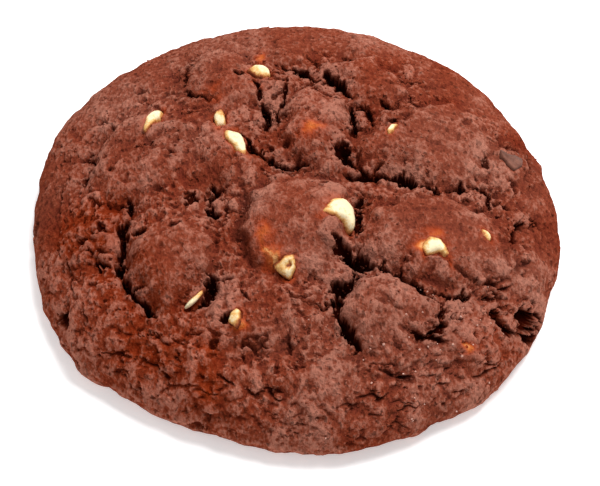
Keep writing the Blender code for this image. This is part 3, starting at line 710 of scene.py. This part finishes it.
# dark chocolate chunks: dense and smooth, with a dull greyish bloom after baking
chunks = {
    # rows as for the cashews; the browned side stands for one in deep shade
    "pieces": [
        (1, 2, 0, 0,
         [(33.8, 10.6), (35.7, 12.2), (38, 12.9), (38.1, 10.6), (37.8, 8.6), (36.4, 6.8), (35.3, 7.9),
          (34.4, 9.2)]),
        (-2.6, 2.4, 0, 1,
         [(36.8, -21.9), (37.4, -20.5), (39, -20.2), (39.2, -21.7), (38.3, -22.7)]),
    ],
    "pinholes": [],
    "pinholeDepth": 0.0,
    "lumpiness": 0.08,
    "topCut": 0.55,
    "lowest": 1.0,
    "seed": 8,
    # near black painted shade for the chunk deep in its pit and where a chunk meets the dough
    "deep": "#180905",
    "shades": [(0.36, "#7a4a3b"), (0.52, "#8d5b4a")],  # chocolate, its bloom
    "bloom": (1.6, 4.0, 0.65),
    "roughness": 0.6,
    "gloss": 0.1,
    "bump": (0.4, 0.2),
}


# distance from a piece's middle to its outline in each direction
def outlineReach(corners, angles):
    turns = np.arctan2(corners[:, 1], corners[:, 0])
    corners = corners[np.argsort(turns)]
    turns = np.sort(turns)
    after = np.searchsorted(turns, angles) % len(corners)
    start, end = corners[after - 1], corners[after]
    crossed = start[:, 0] * end[:, 1] - start[:, 1] * end[:, 0]
    way = end - start
    return crossed / (np.cos(angles) * way[:, 1] - np.sin(angles) * way[:, 0])


# 1 under a film of dough, 0 beside it
def filmShare(points, x, y, radius):
    return np.exp(-(((points[:, 0] - x) ** 2 + (points[:, 1] - y) ** 2) / radius ** 2) ** 3)


# for each point the share of the way from the nearest cashew's middle to its outline, and how far it
# lies outside it in mm
def aroundPieces(points):
    share = np.full(len(points), np.inf)
    gap = np.full(len(points), np.inf)
    for *_, outline in cashews["pieces"]:
        corners = np.array(outline)
        middle = corners.mean(axis=0)
        x, y = points[:, 0] - middle[0], points[:, 1] - middle[1]
        reach = outlineReach(corners - middle, np.arctan2(y, x))
        share = np.minimum(share, np.hypot(x, y) / reach)
        gap = np.minimum(gap, np.hypot(x, y) - reach)
    return share, gap


# a cube blown up to a ball with faces of nearly one size
def ballMesh(cuts):
    shape = bmesh.new()
    bmesh.ops.create_cube(shape, size=2.0)
    bmesh.ops.subdivide_edges(shape, edges=shape.edges[:], cuts=cuts, use_grid_fill=True)
    for vertex in shape.verts:
        vertex.co = Vector([np.tan(value * np.pi / 4) for value in vertex.co]).normalized()
    return toMesh(shape, "doughCrust")


# reads one value of three numbers of each vertex
def readVectors(mesh, name):
    values = np.empty(len(mesh.vertices) * 3, np.float32)
    mesh.vertices.foreach_get(name, values)
    return values.reshape(-1, 3)


# relief over the plain dome in mm, and what the colours need to know of each point
def doughRelief(plain):
    lumps, smooth = lumpRelief(strayed(plain, crust["lumpWander"]))
    ragged = strayed(plain, crust["crackWander"])
    cut, dark, sunk, torn = crackRelief(ragged)
    relief = lumps - cut - sunk
    for size, height, seed in crust["swells"]:
        relief += height * swell(plain, size, seed) * (1 - crust["swellsCalmed"] * smooth)
    rough = np.maximum(1.0 - smooth, crust["tornShare"] * torn)
    low, high, least = crust["rimCalm"]
    calm = atLeast(least, smoothStep(low, high, plain[:, 2]))
    size, seed, least, further = crust["patches"]
    patchy = calm * (least + further * np.abs(swell(plain, size, seed)))
    for size, height, least, seed in crust["crumbs"]:
        bumps = crumbRelief(plain, size, seed) - crust["crumbMiddle"]
        relief += height * atLeast(least, rough) * patchy * bumps
    pores = np.zeros(len(plain))
    for values in crust["pores"]:
        pores = np.maximum(pores, poreRelief(plain, *values))
    pores *= atLeast(crust["poresOnSkin"], rough) * calm
    for values in crust["fissures"]:
        fissures = fissureRelief(plain, *values) * atLeast(crust["fissuresOnSkin"], rough) * calm
        pores = np.maximum(pores, fissures)
    relief -= pores
    share, gap = aroundPieces(ragged)
    relief -= crust["socketDepth"] * (1.0 - smoothStep(crust["socketEdge"], 1.0, share))
    film = np.zeros(len(plain))
    for x, y, radius, height in crust["films"]:
        film = np.maximum(film, height * filmShare(ragged, x, y, radius))
    relief += film
    drawnOut = plain * (1.0, crust["drawnOut"], crust["drawnOut"])
    for size, height, least, seed in crust["skin"]:
        relief += height * atLeast(least, rough) * calm * swell(drawnOut, size, seed)
    return relief, {"smooth": smooth, "rough": rough, "torn": torn, "dark": dark, "pores": pores, "gap": gap,
                    "film": film}


# puts the relief on the plain dome, with the underside flat on the table
def onRelief(plain, relief, pores, bottom):
    away = awayFromCore(plain)
    shaped = plain + away * relief[:, None]
    shaped[bottom] = plain[bottom]
    shaped[bottom, :2] += away[bottom, :2] * relief[bottom, None]
    sides = np.maximum(shaped[:, 2], crust["lowestSide"])
    shaped[:, 2] = np.where(bottom, crust["bottomPores"] * pores, sides)
    shaped[:, :2] -= crust["middle"]
    return shaped


# what the colours go by at each point
def doughLayers(mesh, plain, shaped, bottom, known):
    filmed = 0.2  # mm of dough over a nut that hides its oil
    poreDark, poreSpan = 0.9, (0.1, 1.0)  # how dark the painted shade in pores is, mm of depth from which and at which it is
    tornDark, tornRed = 0.16, 0.15  # how much darker and redder torn crust is
    # painted light on crests and painted shade in hollows, from how far each point stands out
    fine, broad = measureCrests(mesh, shaped)
    fine = fine / (crust["fineStep"] + crust["fineStepOnLumps"] * known["smooth"])
    crests = np.clip(crust["crestLevel"] + fine + broad / crust["broadStep"], 0, 1)
    strength, reach = crust["seep"]
    seeped = strength * np.exp(-((np.maximum(known["gap"], 0) / reach) ** 2))
    # painted shade in cracks, pits and pores
    cracks = np.maximum(known["dark"], poreDark * smoothStep(*poreSpan, known["pores"]))
    return {
        "paintedLightShadeAndTone": crests + areaStrength(plain, crust["paintedLightAndShade"]),
        "crackShadeAndTornDark": np.clip(cracks + tornDark * known["torn"], 0, 1),
        "tone": areaStrength(plain, crust["greyAreas"]) - tornRed * (known["rough"] - 0.5),
        "stain": np.maximum(stainShare(plain), seeped) * (known["film"] < filmed),
        "rough": known["rough"] * (~bottom),
    }


# gives the dough, and its points in mm and their normals for what lies in it
def makeDough():
    mesh = ballMesh(crust["cuts"])
    plain = onPlainDome(readVectors(mesh, "co").astype(float))
    onTable = 0.01  # mm
    bottom = plain[:, 2] < onTable
    relief, known = doughRelief(plain)
    shaped = onRelief(plain, relief, known["pores"], bottom)
    mesh.vertices.foreach_set("co", (shaped * mm).astype(np.float32).ravel())
    mesh.update()
    layers = doughLayers(mesh, plain, shaped, bottom, known)
    dough = addToScene("doughCrust", mesh)
    points = thinMesh(dough)
    sources = nearestOf(shaped, points)
    for name, values in layers.items():
        setAttribute(dough.data, name, values[sources])
    dough.data.shade_smooth()
    return dough, points, readVectors(dough.data, "normal").astype(float)


# takes triangles away where the crust is smooth, gives the points left in mm
def thinMesh(thing):
    dense = thing.data
    dense.calc_loop_triangles()
    thin = thing.modifiers.new("thin", "DECIMATE")
    thin.ratio = min(crust["triangles"] / len(dense.loop_triangles), 1.0)
    thin.use_collapse_triangulate = True
    done = thing.evaluated_get(bpy.context.evaluated_depsgraph_get())
    mesh = bpy.data.meshes.new_from_object(done)
    thing.modifiers.clear()
    thing.data = mesh
    mesh.name = "doughCrust"
    bpy.data.meshes.remove(dense)
    points = readVectors(mesh, "co")
    points[:, 2] = np.maximum(points[:, 2], 0.0)  # thinning may leave a few a hair below the table
    mesh.vertices.foreach_set("co", points.ravel())
    return points.astype(float) / mm


def pointTree(points):
    tree = kdtree.KDTree(len(points))
    for i, point in enumerate(points):
        tree.insert(point, i)
    tree.balance()
    return tree


# number of the source that lies nearest to each point
def nearestOf(sources, points):
    tree = pointTree(sources)
    return np.array([tree.find(point)[1] for point in points])


# strength of all soft round areas together at each point
def areaStrength(points, areas):
    total = np.zeros(len(points))
    for x, y, radius, strength in areas:
        total += strength * np.exp(-((points[:, 0] - x) ** 2 + (points[:, 1] - y) ** 2) / radius ** 2)
    return total


# how strongly nut oil has stained each point
def stainShare(points):
    lowest = 2.0  # mm above the table
    share = np.zeros(len(points))
    wander = strayed(points, crust["stainWander"])
    for *oval, strength in crust["stains"]:
        u, v = inOval(wander, *oval)
        share = np.maximum(share, strength * np.exp(-(u * u + v * v)))
    return share * (points[:, 2] > lowest)


# how far each point stands above its surroundings of about 1 mm, and those above theirs of about 3 mm
def measureCrests(mesh, points):
    few, many = crust["crestTurns"]
    edges = np.empty(len(mesh.edges) * 2, np.int32)
    mesh.edges.foreach_get("vertices", edges)
    a, b = edges.reshape(-1, 2).T
    count = np.bincount(a, minlength=len(points)) + np.bincount(b, minlength=len(points))
    smooth = points
    for turn in range(many):
        total = [np.bincount(a, smooth[b, k], len(points)) + np.bincount(b, smooth[a, k], len(points))
                 for k in range(3)]
        smooth = np.column_stack(total) / count[:, None]
        if turn == few - 1:
            near = smooth
    normals = readVectors(mesh, "normal")
    fine = ((points - near) * normals).sum(axis=1)
    broad = ((near - smooth) * normals).sum(axis=1)
    return fine, broad


def setAttribute(mesh, name, values):
    layer = mesh.attributes.new(name, "FLOAT", "POINT")
    layer.data.foreach_set("value", values.astype(np.float32))


# baked chocolate dough: dry and nearly matt, an open gritty crumb, greyer where it rose; painted light on its
# crests, painted shade in its hollows and near black painted shade in its cracks
def doughMaterial():
    material, tree, shader = newMaterial("baked chocolate dough")
    adding, times, scaled = {"operation": "ADD"}, {"operation": "MULTIPLY"}, {"operation": "MULTIPLY_ADD"}
    overColor = {"data_type": "RGBA"}
    layers = {}
    for name in ("rough", "paintedLightShadeAndTone", "tone", "stain", "crackShadeAndTornDark"):
        layers[name] = addNode(tree, "Attribute", {"attribute_name": name}, out="Fac")
    place = addNode(tree, "TexCoord", out="Object")
    place = addNode(tree, "Mapping", Vector=place, Scale=(1.0, crust["drawnOut"], crust["drawnOut"]))
    grain = {}
    for name, (size, detail, roughness) in crust["grain"].items():
        grain[name] = addNode(tree, "TexNoise", Vector=place, Scale=perMetre / size,
                              Detail=detail, Roughness=roughness)
    # pale to dark by noise of three sizes, and by painted light on crests and painted shade in hollows
    coarse = addNode(tree, "MapRange", Value=layers["rough"], To_Min=crust["grainOnSkin"], To_Max=1.0)
    parts = {}
    for name, share in crust["grainShares"].items():
        parts[name] = addNode(tree, "Math", scaled, i0=grain[name], i1=share, i2=-share / 2)
    level = addNode(tree, "Math", times, i0=parts["grit"], i1=coarse)
    for part in (parts["mottle"], parts["blotch"], layers["paintedLightShadeAndTone"]):
        level = addNode(tree, "Math", adding, i0=level, i1=part)
    color = addNode(tree, "ValToRGB", stops=crust["shades"], Fac=level)
    # redder and greyer areas
    warmth = addNode(tree, "Math", adding, i0=grain["blotch"], i1=layers["tone"])
    tint = addNode(tree, "ValToRGB", stops=crust["tints"], Fac=warmth)
    color = addNode(tree, "Mix", overColor, out=2, i0=crust["tintShare"], i6=color, i7=tint)
    # painted shade in pinholes, and pale specks that are partly grain and partly painted glints
    speck = addNode(tree, "MapRange", Value=grain["speck"], **crust["specks"])
    pinhole = addNode(tree, "MapRange", Value=grain["pinhole"], **crust["pinholes"])
    shade = addNode(tree, "Math", times, i0=speck, i1=pinhole)
    shade = addNode(tree, "Mix", {"data_type": "FLOAT"}, i0=coarse, i2=1.0, i3=shade)
    color = addNode(tree, "VectorMath", {"operation": "SCALE"}, i0=color, Scale=shade)
    # nut oil in the skin, then the painted shade of cracks, pits and pores, and the darker torn crust
    uneven = addNode(tree, "MapRange", Value=grain["mottle"], **crust["oilPatches"])
    oil = addNode(tree, "Math", times, i0=layers["stain"], i1=uneven)
    oilColor = addNode(tree, "ValToRGB", stops=crust["stainShades"], Fac=oil)
    cover = addNode(tree, "Math", {"operation": "MINIMUM"}, i0=oil, i1=crust["stainCover"])
    color = addNode(tree, "Mix", overColor, out=2, i0=cover, i6=color, i7=oilColor)
    deep = hexToLinear(crust["deep"])
    color = addNode(tree, "Mix", overColor, out=2, i0=layers["crackShadeAndTornDark"], i6=color, i7=deep)
    tree.links.new(color, shader.inputs["Base Color"])
    shader.inputs["Roughness"].default_value = crust["roughness"]
    shader.inputs["Specular IOR Level"].default_value = crust["gloss"]
    # grit and pinholes stand out a little
    fine = addNode(tree, "Bump", Height=grain["grit"], Strength=1.0, Distance=crust["gritHeight"] * mm)
    pitted = addNode(tree, "Bump", Height=pinhole, Strength=crust["pinholeSharpness"],
                     Distance=crust["pinholeDepth"] * mm, Normal=fine)
    tree.links.new(pitted, shader.inputs["Normal"])
    return material


# one chopped piece, in mm: a ball drawn out to the outline, flat on top, broken to slanting facets
def choppedPiece(row, dice, values):
    sideShape, topShape = 0.55, 0.75  # lower gives steeper sides and a flatter top
    facets, slopes, offsets = 3, (0.05, 0.22), (0.0, 0.4)
    lumpSize = 0.9  # mm
    filmSink = 2.8  # mm that a piece lies lower under a film of dough
    pinholeSlope, pinholeShade = 2, 1.2
    rise, thickness, brownSide, brownShare, outline = row
    corners = np.array(outline)
    middle = corners.mean(axis=0)
    size = np.hypot(*(corners - middle).T).mean()
    shape = bmesh.new()
    bmesh.ops.create_icosphere(shape, subdivisions=4, radius=1.0)
    ball = np.array([vertex.co for vertex in shape.verts])
    angles = np.arctan2(ball[:, 1], ball[:, 0])
    reach = outlineReach(corners - middle, angles) * np.hypot(ball[:, 0], ball[:, 1]) ** sideShape
    heights = np.sign(ball[:, 2]) * np.abs(ball[:, 2]) ** topShape * thickness / 2
    heights = np.minimum(heights, values["topCut"] * thickness / 2)
    spots = np.column_stack([reach * np.cos(angles), reach * np.sin(angles), heights])
    for _ in range(facets):
        lean = dice.uniform(0, 2 * np.pi)
        slope = dice.uniform(*slopes)
        over = spots[:, 0] * np.cos(lean) + spots[:, 1] * np.sin(lean) - dice.uniform(*offsets) * size
        spots[:, 2] -= np.where(spots[:, 2] > 0, slope * np.maximum(over, 0.0), 0.0)
    for vertex, spot in zip(shape.verts, spots):
        lumpy = noise.noise_vector(Vector((*(spot[:2] + middle), spot[2])) / lumpSize) * values["lumpiness"]
        vertex.co = Vector(spot) + lumpy
    everywhere = {"use_axis_x": True, "use_axis_y": True, "use_axis_z": True}
    bmesh.ops.smooth_vert(shape, verts=shape.verts[:], factor=0.5, **everywhere)
    side = np.radians(brownSide)
    browned = brownShare * (0.5 + 0.5 * (spots[:, 0] * np.cos(side) + spots[:, 1] * np.sin(side)) / size)
    upper = spots[:, 2] > 0
    for x, y, radius, _ in crust["films"]:
        covered = filmShare(spots[:, :2] + middle, x, y, radius)
        for vertex, inside in zip(shape.verts, covered * upper):
            vertex.co.z -= filmSink * inside
    for x, y, radius in values["pinholes"]:
        away = np.hypot(spots[:, 0] + middle[0] - x, spots[:, 1] + middle[1] - y) / radius
        for vertex, inside in zip(shape.verts, np.maximum(1 - away, 0) * upper):
            vertex.co.z -= values["pinholeDepth"] * min(inside * pinholeSlope, 1)
        # painted shade: the nut is darker in its pinhole
        browned += pinholeShade * np.maximum(1 - away, 0)
    seatPiece(shape, middle, size, rise - thickness / 2)
    for vertex in shape.verts:
        vertex.co.z = max(vertex.co.z, values["lowest"])
    return shape, browned


# leans a piece with the crust around it; its outline keeps its place from above
def seatPiece(shape, middle, size, lift):
    innerShare, outer = 0.7, 1.2  # the ring of crust that it sits in: share of its size, mm beyond it
    lowestCrust, percentile = 3, 75
    place = Vector((*(middle - crust["middle"]), 0))
    near = np.hypot(doughPoints[:, 0] - place.x, doughPoints[:, 1] - place.y)
    ring = (near > size * innerShare) & (near < size + outer) & (doughPoints[:, 2] > lowestCrust)
    around = np.column_stack([doughPoints[ring, :2] - place[:2], np.ones(ring.sum())])
    plane = np.linalg.lstsq(around, doughPoints[ring, 2], rcond=None)[0]
    place.z = plane[2] + np.percentile(doughPoints[ring, 2] - around @ plane, percentile)
    up = Vector((-plane[0], -plane[1], 1)).normalized()
    lean = Matrix(((1, 0, up.x), (0, 1, up.y), (-up.x / up.z, -up.y / up.z, up.z)))
    pose = Matrix.Translation(place + up * lift) @ lean.to_4x4()
    bmesh.ops.transform(shape, matrix=pose, verts=shape.verts[:])


# all pieces of one kind in one mesh, with how browned or shaded each point is
def lodgedPieces(name, values):
    edgeDarkening = 0.6  # darker where it meets the dough: browner on the cashews, painted shade on the chunks
    dice = random.Random(values["seed"])
    whole = bmesh.new()
    browned = []
    for row in values["pieces"]:
        one, toastAndShade = choppedPiece(row, dice, values)
        bit = toMesh(one, "bit")
        whole.from_mesh(bit)
        bpy.data.meshes.remove(bit)
        browned.append(toastAndShade)
    points = np.array([vertex.co for vertex in whole.verts])
    bmesh.ops.transform(whole, matrix=Matrix.Scale(mm, 4), verts=whole.verts[:])
    mesh = toMesh(whole, name)
    mesh.shade_smooth()
    setAttribute(mesh, "toastAndShade", np.clip(np.concatenate(browned) + edgeDarkening * doughNearness(points), 0, 1))
    return addToScene(name, mesh)


# 1 where a piece meets the dough, 0 where it stands well clear
def doughNearness(points):
    touching, reach = 0.15, 0.8  # mm
    tree = pointTree(doughPoints)
    gaps = np.array([tree.find(point)[2] for point in points])
    return np.clip(1.0 - (gaps - touching) / reach, 0, 1)


# gives a material its colour, roughness, gloss and the relief of its surface
def finishMaterial(tree, shader, color, height, values):
    strength, depth = values["bump"]
    bump = addNode(tree, "Bump", Height=height, Strength=strength, Distance=depth * mm)
    tree.links.new(color, shader.inputs["Base Color"])
    tree.links.new(bump, shader.inputs["Normal"])
    shader.inputs["Roughness"].default_value = values["roughness"]
    shader.inputs["Specular IOR Level"].default_value = values["gloss"]


# roasted cashew: creamy nut meat, golden to brown where it was toasted, with a faint waxy sheen
def cashewMaterial():
    material, tree, shader = newMaterial("roasted cashew")
    place = addNode(tree, "TexCoord", out="Object")
    toastAndShade = addNode(tree, "Attribute", {"attribute_name": "toastAndShade"}, out="Fac")
    (size, detail, roughness), share = cashews["patches"], cashews["patchShare"]
    patch = addNode(tree, "TexNoise", Vector=place, Scale=perMetre / size, Detail=detail, Roughness=roughness)
    level = addNode(tree, "Math", {"operation": "MULTIPLY_ADD"}, i0=patch, i1=share, i2=-share / 2)
    level = addNode(tree, "Math", {"operation": "ADD"}, i0=level, i1=toastAndShade)
    color = addNode(tree, "ValToRGB", stops=cashews["shades"], Fac=level)
    finishMaterial(tree, shader, color, patch, cashews)
    return material


# dark chocolate: dull and dense, with a paler bloom in soft patches, and near black painted shade where it
# lies deep or meets the dough
def chocolateMaterial():
    material, tree, shader = newMaterial("dark chocolate")
    place = addNode(tree, "TexCoord", out="Object")
    shaded = addNode(tree, "Attribute", {"attribute_name": "toastAndShade"}, out="Fac")
    size, detail, roughness = chunks["bloom"]
    bloom = addNode(tree, "TexNoise", Vector=place, Scale=perMetre / size, Detail=detail, Roughness=roughness)
    color = addNode(tree, "ValToRGB", stops=chunks["shades"], Fac=bloom)
    # painted shade: near black where the piece lies deep or meets the dough
    deep = hexToLinear(chunks["deep"])
    color = addNode(tree, "Mix", {"data_type": "RGBA"}, out=2, i0=shaded, i6=color, i7=deep)
    finishMaterial(tree, shader, color, bloom, chunks)
    return material


# loose crumbs of crust in the cracks and torn places
crumbs = {
    "count": 3200,
    "size": (0.25, 0.7),  # mm
    "sunk": 0.1,  # share of the size
    "clearHeight": (3.0, 4.0),  # mm above the table where they start, mm until they are as many as on top
    "seed": 14,
}
# sugar grains that catch the light at the front; their pale pinkish colour is partly a painted glint
sugar = {
    "count": 40,
    "size": (0.3, 0.5),  # mm
    "sunk": 0.0,
    "around": (23, -30, 11),  # x, y, spread
    "seed": 6,
    "color": "#c99684",
    "roughness": 0.35,
    "refraction": 1.54,
}


# one small bevelled or rounded grain, about 1 across
def grainShape(rounded):
    cubeSize, bevelSize = 0.8, 0.12
    shape = bmesh.new()
    if rounded:
        bmesh.ops.create_icosphere(shape, subdivisions=1, radius=0.5)
    else:
        bmesh.ops.create_cube(shape, size=cubeSize)
        bmesh.ops.bevel(shape, geom=shape.edges[:], offset=bevelSize, affect="EDGES", segments=1,
                        profile=0.5, material=-1)
    corners = np.array([vertex.co for vertex in shape.verts])
    faces = [[vertex.index for vertex in face.verts] for face in shape.faces]
    shape.free()
    return corners, faces


# the same grain many times over in one mesh, each turned and shaped a little differently
def scatterGrains(name, values, spots, rounded):
    stretches = (0.65, 1.15)
    unevenness = 0.2 * rounded
    paleness = (0.3, 0.75)
    underShare = 0.5  # how much a grain takes on of the crust's tones, its oil and its painted crack shade
    dice = np.random.default_rng(values["seed"])
    corners, faces = grainShape(rounded)
    smallest, largest = values["size"]
    placed = []
    for spot in spots:
        size = smallest + (largest - smallest) * dice.random() ** 2
        stretch = size * dice.uniform(*stretches, 3)
        turn = np.array(Euler(dice.uniform(0, 2 * np.pi, 3)).to_matrix())
        uneven = corners * (1 + unevenness * dice.standard_normal((len(corners), 1)))
        sunk = doughNormals[spot] * size * values["sunk"]
        placed.append((uneven * stretch) @ turn.T + doughPoints[spot] - sunk)
    joined = [[corner + i * len(corners) for corner in face] for i in range(len(spots)) for face in faces]
    mesh = bpy.data.meshes.new(name)
    mesh.from_pydata((np.concatenate(placed) * mm).tolist(), [], joined)
    if rounded:
        mesh.shade_smooth()
    setAttribute(mesh, "paintedLightShadeAndTone", np.repeat(dice.uniform(*paleness, len(spots)), len(corners)))
    for layer in ("crackShadeAndTornDark", "stain", "tone"):
        under = readAttribute(dough.data, layer)[spots]
        setAttribute(mesh, layer, np.repeat(under, len(corners)) * underShare)
    return addToScene(name, mesh)


# picks points of the dough, each with its own weight
def pickSpots(values, dice, weights):
    return dice.choice(len(doughPoints), values["count"], replace=False, p=weights / weights.sum())


# on torn crust, most in the cracks and on top, few low on the sides
def crumbSpots():
    dice = np.random.default_rng(crumbs["seed"])
    inCracks, onSides, lowest = 0.2, 0.03, 1.5
    depth = readAttribute(dough.data, "crackShadeAndTornDark")
    start, span = crumbs["clearHeight"]
    clear = np.clip((doughPoints[:, 2] - start) / span, 0, 1) * np.clip(doughNormals[:, 2], 0, 1)
    weights = readAttribute(dough.data, "rough") * (inCracks + depth)
    return pickSpots(crumbs, dice, weights * (clear + onSides * (doughPoints[:, 2] > lowest)))


def sugarSpots():
    dice = np.random.default_rng(sugar["seed"])
    leastUp = 0.2  # none on steep faces
    x, y, spread = sugar["around"]
    away = ((doughPoints[:, 0] - x) ** 2 + (doughPoints[:, 1] - y) ** 2) / spread ** 2
    return pickSpots(sugar, dice, np.exp(-away) * (doughNormals[:, 2] > leastUp))


# sugar crystal: glossy, and pale pinkish in colour as a painted glint, so it reads as a point of light on the
# crust
def sugarMaterial():
    material, _, shader = newMaterial("sugar crystal")
    shader.inputs["Base Color"].default_value = hexToLinear(sugar["color"])
    shader.inputs["Roughness"].default_value = sugar["roughness"]
    shader.inputs["IOR"].default_value = sugar["refraction"]
    return material


def readAttribute(mesh, name):
    values = np.empty(len(mesh.vertices), np.float32)
    mesh.attributes[name].data.foreach_get("value", values)
    return values.astype(float)


addCamera()
addLights()
addFloor()
print("stage ready")

dough, doughPoints, doughNormals = makeDough()
bakedDough = doughMaterial()
dough.data.materials.append(bakedDough)
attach(dough, "root")
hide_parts("cookie")
print("dough ready")

nutPieces = lodgedPieces("cashewPieces", cashews)
nutPieces.data.materials.append(cashewMaterial())
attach(nutPieces, "root")
print("cashew pieces ready")

chunkPieces = lodgedPieces("chocolateChunks", chunks)
chunkPieces.data.materials.append(chocolateMaterial())
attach(chunkPieces, "root")
print("chocolate chunks ready")

crumbPieces = scatterGrains("crustCrumbs", crumbs, crumbSpots(), True)
crumbPieces.data.materials.append(bakedDough)
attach(crumbPieces, "root")
sugarGrains = scatterGrains("sugarGrains", sugar, sugarSpots(), False)
sugarGrains.data.materials.append(sugarMaterial())
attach(sugarGrains, "root")
print("crumbs and sugar ready")

bpy.context.scene.view_settings.view_transform = "Standard"
bpy.context.scene.view_settings.look = "None"
